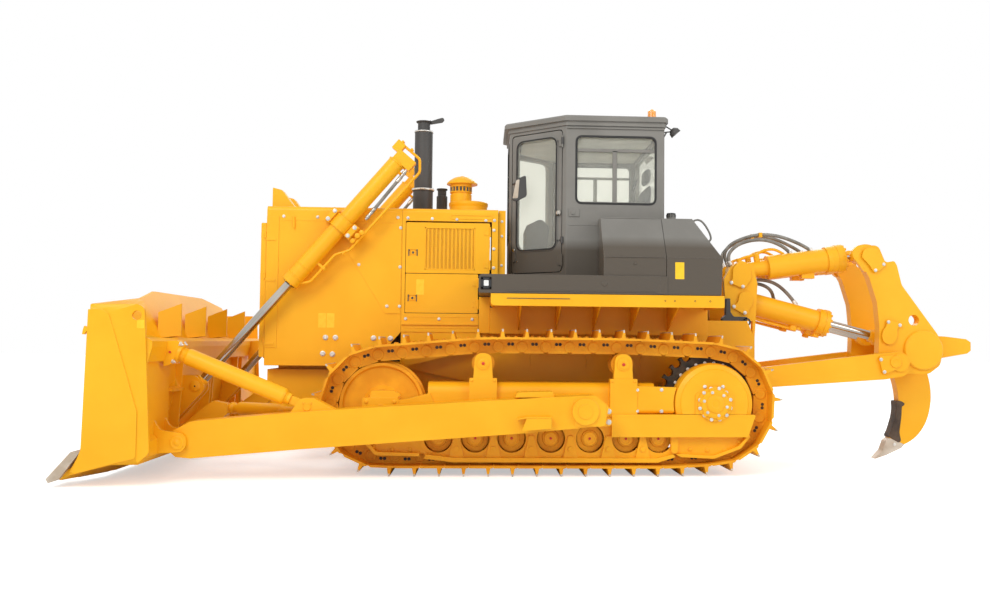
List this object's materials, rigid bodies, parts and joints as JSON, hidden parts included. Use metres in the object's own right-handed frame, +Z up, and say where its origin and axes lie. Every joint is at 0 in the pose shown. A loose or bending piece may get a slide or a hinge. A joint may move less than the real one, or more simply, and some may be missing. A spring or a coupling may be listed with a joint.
{
  "type": "bulldozer with semi-u blade and single-shank ripper",
  "caption": "Track-type bulldozer with a semi-U blade on push arms, lift cylinders, hexagonal cab, opening engine doors and a single-shank ripper at the rear.",
  "frame": {"origin": "on the ground under the middle of the machine's overall box", "axes": "-X towards the blade, +X towards the ripper, -Y the machine's left side, +Z up"},
  "size_m": [9, 4.13, 3.6701],
  "materials": {
    "body_yellow": "satin gloss paint",
    "charcoal_paint": "satin paint",
    "exhaust_black": "matt heat resistant paint",
    "cab_glass": "clear",
    "seat_fabric": "woven",
    "dark_plastic": "matt",
    "amber_lens": "gloss",
    "chrome": "polished",
    "bare_steel": "worn bare",
    "engine_grey": "painted casting"
  },
  "bodies": {
    "tractor": {"main_frame": "body_yellow", "equalizer_bar": "body_yellow", "engine": "engine_grey", "radiator": "engine_grey", "radiator_guard": "body_yellow", "hood": "body_yellow", "stacks": "exhaust_black", "pre_cleaner": "body_yellow", "lamps": "charcoal_paint", "fenders": "body_yellow", "deck": "charcoal_paint", "fuel_tank": "charcoal_paint", "side_boxes": "charcoal_paint", "cab_shell": "charcoal_paint", "cab_roof": "charcoal_paint", "cab_glass": "cab_glass", "seat": "seat_fabric", "console": "dark_plastic", "beacon": "amber_lens", "grab_rails": "exhaust_black", "track_left": "body_yellow", "track_right": "body_yellow", "idlers": "body_yellow", "sprockets": "body_yellow", "final_drives": "body_yellow", "track_frame_left": "body_yellow", "track_frame_right": "body_yellow", "track_rollers": "body_yellow", "carrier_rollers": "body_yellow", "ripper_bracket": "body_yellow"},
    "blade": {"blade": "body_yellow", "blade_lugs": "body_yellow", "cutting_edges": "bare_steel", "push_arms": "body_yellow", "blade_braces": "body_yellow"},
    "lift_barrel_left": {"lift_barrel_left": "body_yellow"},
    "lift_rod_left": {"lift_rod_left": "chrome"},
    "lift_barrel_right": {"lift_barrel_right": "body_yellow"},
    "lift_rod_right": {"lift_rod_right": "chrome"},
    "ripper_beam": {"ripper_beam": "body_yellow"},
    "ripper_pin": {"ripper_pin": "chrome"},
    "ripper_tool": {"ripper_carriage": "body_yellow", "ripper_carriage_plates": "body_yellow", "ripper_shank": "body_yellow", "ripper_tooth": "bare_steel"},
    "tilt_barrels": {"tilt_barrels": "body_yellow"},
    "tilt_rods": {"tilt_rods": "chrome"},
    "hoist_barrels": {"hoist_barrels": "body_yellow"},
    "hoist_rods": {"hoist_rods": "chrome"},
    "cab_door_left": {"cab_door_left": "charcoal_paint", "door_glass_left": "cab_glass"},
    "engine_door_upper_left": {"engine_door_upper_left": "body_yellow"},
    "engine_door_lower_left": {"engine_door_lower_left": "body_yellow"},
    "grille_door_left": {"grille_door_left": "body_yellow"},
    "cab_door_right": {"cab_door_right": "charcoal_paint", "door_glass_right": "cab_glass"},
    "engine_door_upper_right": {"engine_door_upper_right": "body_yellow"},
    "engine_door_lower_right": {"engine_door_lower_right": "body_yellow"},
    "grille_door_right": {"grille_door_right": "body_yellow"}
  },
  "joints": [
    {"name": "blade_lift", "type": "hinge", "parent": "tractor", "child": "blade", "pos_m": [0.075, 0, 0.634], "axis": [0, -1, 0], "range_deg": [-20, 7]},
    {"name": "lift_yoke_left", "type": "hinge", "parent": "tractor", "child": "lift_barrel_left", "pos_m": [-2.275, -0.75, 2.419], "axis": [0, -1, 0], "range_deg": [-27, 10]},
    {"name": "lift_stroke_left", "type": "slide", "parent": "lift_barrel_left", "child": "lift_rod_left", "axis": [-0.6465, 0, -0.7629], "range_m": [-1, 0.36]},
    {"name": "lift_yoke_right", "type": "hinge", "parent": "tractor", "child": "lift_barrel_right", "pos_m": [-2.275, 0.75, 2.419], "axis": [0, -1, 0], "range_deg": [-27, 10]},
    {"name": "lift_stroke_right", "type": "slide", "parent": "lift_barrel_right", "child": "lift_rod_right", "axis": [-0.6465, 0, -0.7629], "range_m": [-1, 0.36]},
    {"name": "ripper_lift", "type": "hinge", "parent": "tractor", "child": "ripper_beam", "pos_m": [1.86, 0, 0.883], "axis": [0, -1, 0], "range_deg": [-35, 30]},
    {"name": "ripper_level", "type": "hinge", "parent": "ripper_beam", "child": "ripper_pin", "pos_m": [3.48, 0, 1.079], "axis": [0, -1, 0], "range_deg": [-31, 36]},
    {"name": "ripper_pitch", "type": "hinge", "parent": "ripper_pin", "child": "ripper_tool", "pos_m": [3.48, 0, 1.079], "axis": [0, 1, 0], "range_deg": [0, 20]},
    {"name": "tilt_swing", "type": "hinge", "parent": "tractor", "child": "tilt_barrels", "pos_m": [1.856, 0, 2.04], "axis": [0, -1, 0], "range_deg": [-41, 35]},
    {"name": "tilt_stroke", "type": "slide", "parent": "tilt_barrels", "child": "tilt_rods", "axis": [0.9909, 0, 0.135], "range_m": [0, 0.42]},
    {"name": "hoist_swing", "type": "hinge", "parent": "tractor", "child": "hoist_barrels", "pos_m": [1.9, 0, 1.727], "axis": [0, -1, 0], "range_deg": [-34, 29]},
    {"name": "hoist_stroke", "type": "slide", "parent": "hoist_barrels", "child": "hoist_rods", "axis": [0.9697, 0, -0.2442], "range_m": [-0.31, 0.36]},
    {"name": "cab_door_left_hinge", "type": "hinge", "parent": "tractor", "child": "cab_door_left", "pos_m": [-0.0822, -0.8303, 2.2], "axis": [0, 0, 1], "range_deg": [0, 120]},
    {"name": "engine_door_upper_left_hinge", "type": "hinge", "parent": "tractor", "child": "engine_door_upper_left", "pos_m": [-0.798, -0.612, 2.2], "axis": [0, 0, 1], "range_deg": [0, 90]},
    {"name": "engine_door_lower_left_hinge", "type": "hinge", "parent": "tractor", "child": "engine_door_lower_left", "pos_m": [-0.913, -0.612, 2.2], "axis": [0, 0, 1], "range_deg": [0, 90]},
    {"name": "grille_door_left_hinge", "type": "hinge", "parent": "tractor", "child": "grille_door_left", "pos_m": [-3.06, -0.604, 2.2], "axis": [0, 0, 1], "range_deg": [0, 90]},
    {"name": "cab_door_right_hinge", "type": "hinge", "parent": "tractor", "child": "cab_door_right", "pos_m": [-0.0822, 0.8303, 2.2], "axis": [0, 0, -1], "range_deg": [0, 120]},
    {"name": "engine_door_upper_right_hinge", "type": "hinge", "parent": "tractor", "child": "engine_door_upper_right", "pos_m": [-0.798, 0.612, 2.2], "axis": [0, 0, -1], "range_deg": [0, 90]},
    {"name": "engine_door_lower_right_hinge", "type": "hinge", "parent": "tractor", "child": "engine_door_lower_right", "pos_m": [-0.913, 0.612, 2.2], "axis": [0, 0, -1], "range_deg": [0, 90]},
    {"name": "grille_door_right_hinge", "type": "hinge", "parent": "tractor", "child": "grille_door_right", "pos_m": [-3.06, 0.604, 2.2], "axis": [0, 0, -1], "range_deg": [0, 90]}
  ],
  "couplings": [
    {"joint": "lift_yoke_left", "follows": "blade_lift", "ratio": 1.33},
    {"joint": "lift_stroke_left", "follows": "blade_lift", "m_per_rad": 2.86},
    {"joint": "lift_yoke_right", "follows": "blade_lift", "ratio": 1.33},
    {"joint": "lift_stroke_right", "follows": "blade_lift", "m_per_rad": 2.86},
    {"joint": "ripper_level", "follows": "ripper_lift", "ratio": -1},
    {"joint": "tilt_swing", "follows": "ripper_lift", "ratio": 1.16},
    {"joint": "tilt_stroke", "follows": "ripper_pitch", "m_per_rad": 1.13},
    {"joint": "hoist_swing", "follows": "ripper_lift", "ratio": 0.95},
    {"joint": "hoist_stroke", "follows": "ripper_lift", "m_per_rad": -0.57}
  ]
}
